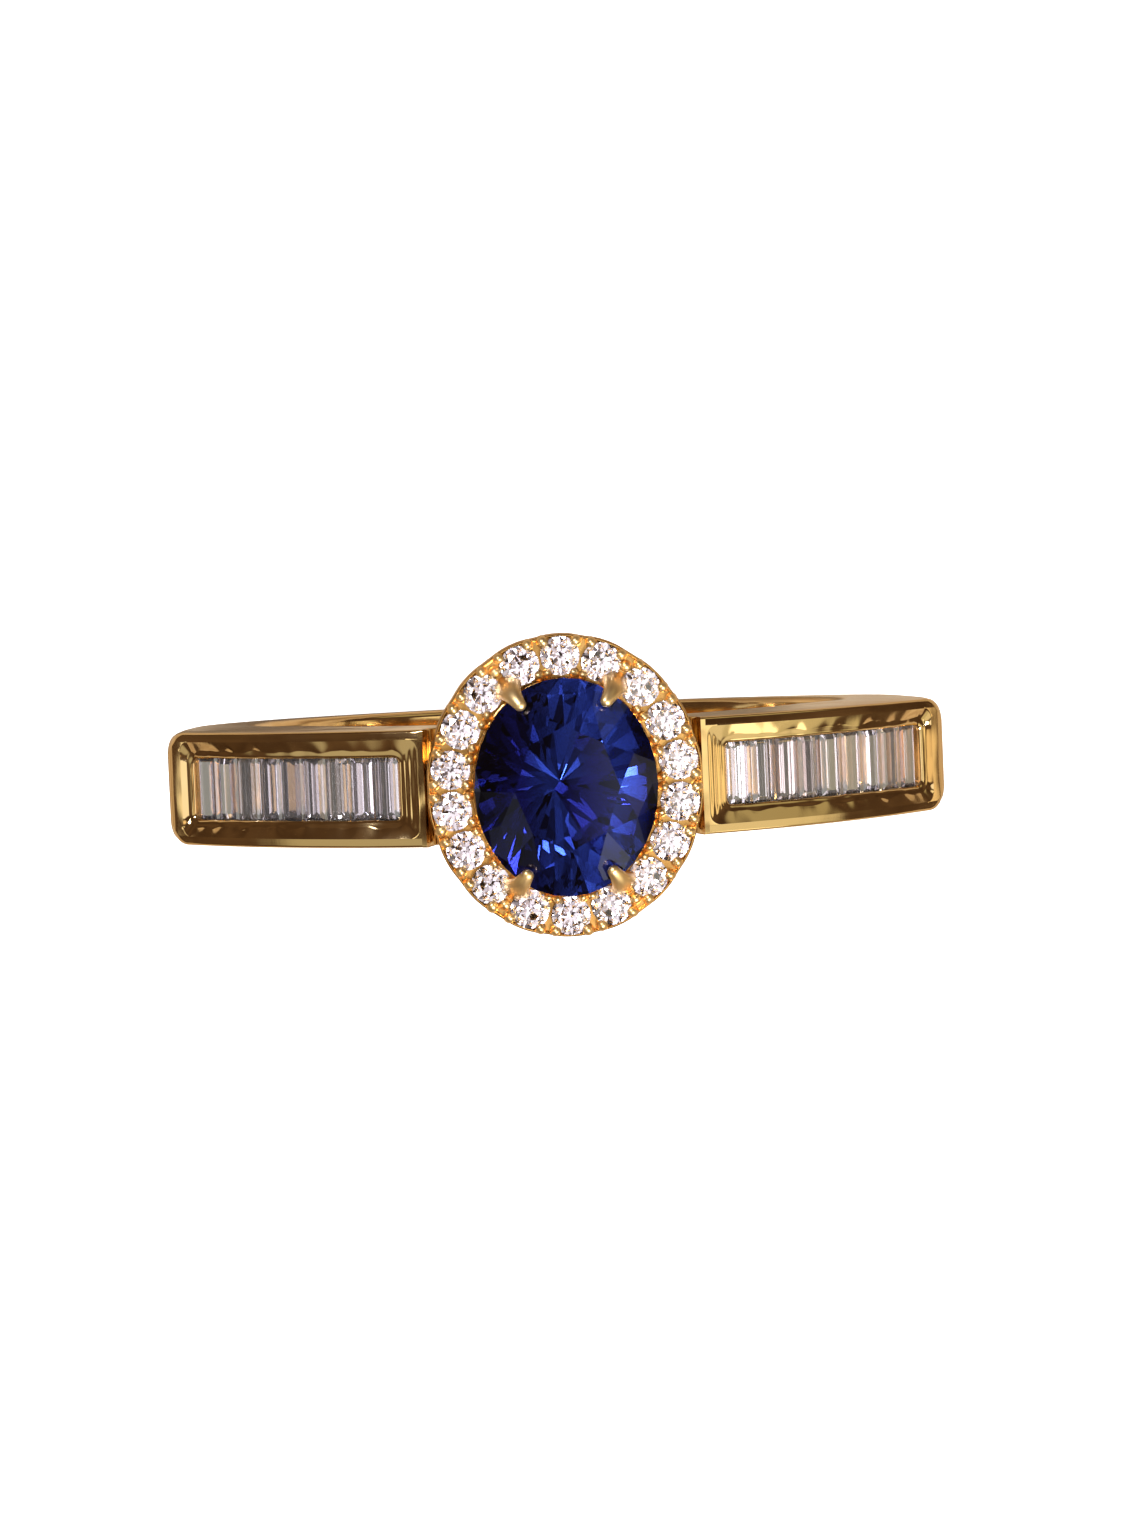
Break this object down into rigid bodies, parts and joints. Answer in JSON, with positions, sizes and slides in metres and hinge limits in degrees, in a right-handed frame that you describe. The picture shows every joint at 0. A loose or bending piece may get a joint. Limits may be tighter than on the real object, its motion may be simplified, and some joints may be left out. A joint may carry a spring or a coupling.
{
  "type": "gemstone ring",
  "caption": "Gold finger ring: a claw-set oval blue gem in an oval halo of small round gems, with a channel of baguette gems in each shoulder.",
  "frame": {"origin": "centre of the finger hole, midway along it", "axes": "+Z out of the head, square to the finger; +Y along the finger; +X along the right shoulder"},
  "size_m": [0.0218, 0.0082, 0.0233],
  "materials": {
    "gold": "polished",
    "diamond": "faceted",
    "sapphire": "faceted"
  },
  "bodies": {
    "root": {"shank": "gold", "left_channel_bed": "gold", "right_channel_bed": "gold", "left_front_rail": "gold", "left_back_rail": "gold", "right_front_rail": "gold", "right_back_rail": "gold", "head_base_rail": "gold", "under_gallery": "gold", "halo_plate": "gold", "halo_grains": "gold", "sapphire_seat": "gold", "claw_1": "gold", "claw_2": "gold", "claw_3": "gold", "claw_4": "gold", "sapphire": "sapphire", "halo_diamond_1": "diamond", "halo_diamond_2": "diamond", "halo_diamond_3": "diamond", "halo_diamond_4": "diamond", "halo_diamond_5": "diamond", "halo_diamond_6": "diamond", "halo_diamond_7": "diamond", "halo_diamond_8": "diamond", "halo_diamond_9": "diamond", "halo_diamond_10": "diamond", "halo_diamond_11": "diamond", "halo_diamond_12": "diamond", "halo_diamond_13": "diamond", "halo_diamond_14": "diamond", "halo_diamond_15": "diamond", "halo_diamond_16": "diamond", "halo_diamond_17": "diamond", "halo_diamond_18": "diamond", "left_baguette_1": "diamond", "left_baguette_2": "diamond", "left_baguette_3": "diamond", "left_baguette_4": "diamond", "left_baguette_5": "diamond", "left_baguette_6": "diamond", "left_baguette_7": "diamond", "left_baguette_8": "diamond", "left_baguette_9": "diamond", "right_baguette_1": "diamond", "right_baguette_2": "diamond", "right_baguette_3": "diamond", "right_baguette_4": "diamond", "right_baguette_5": "diamond", "right_baguette_6": "diamond", "right_baguette_7": "diamond", "right_baguette_8": "diamond", "right_baguette_9": "diamond"}
  },
  "joints": []
}
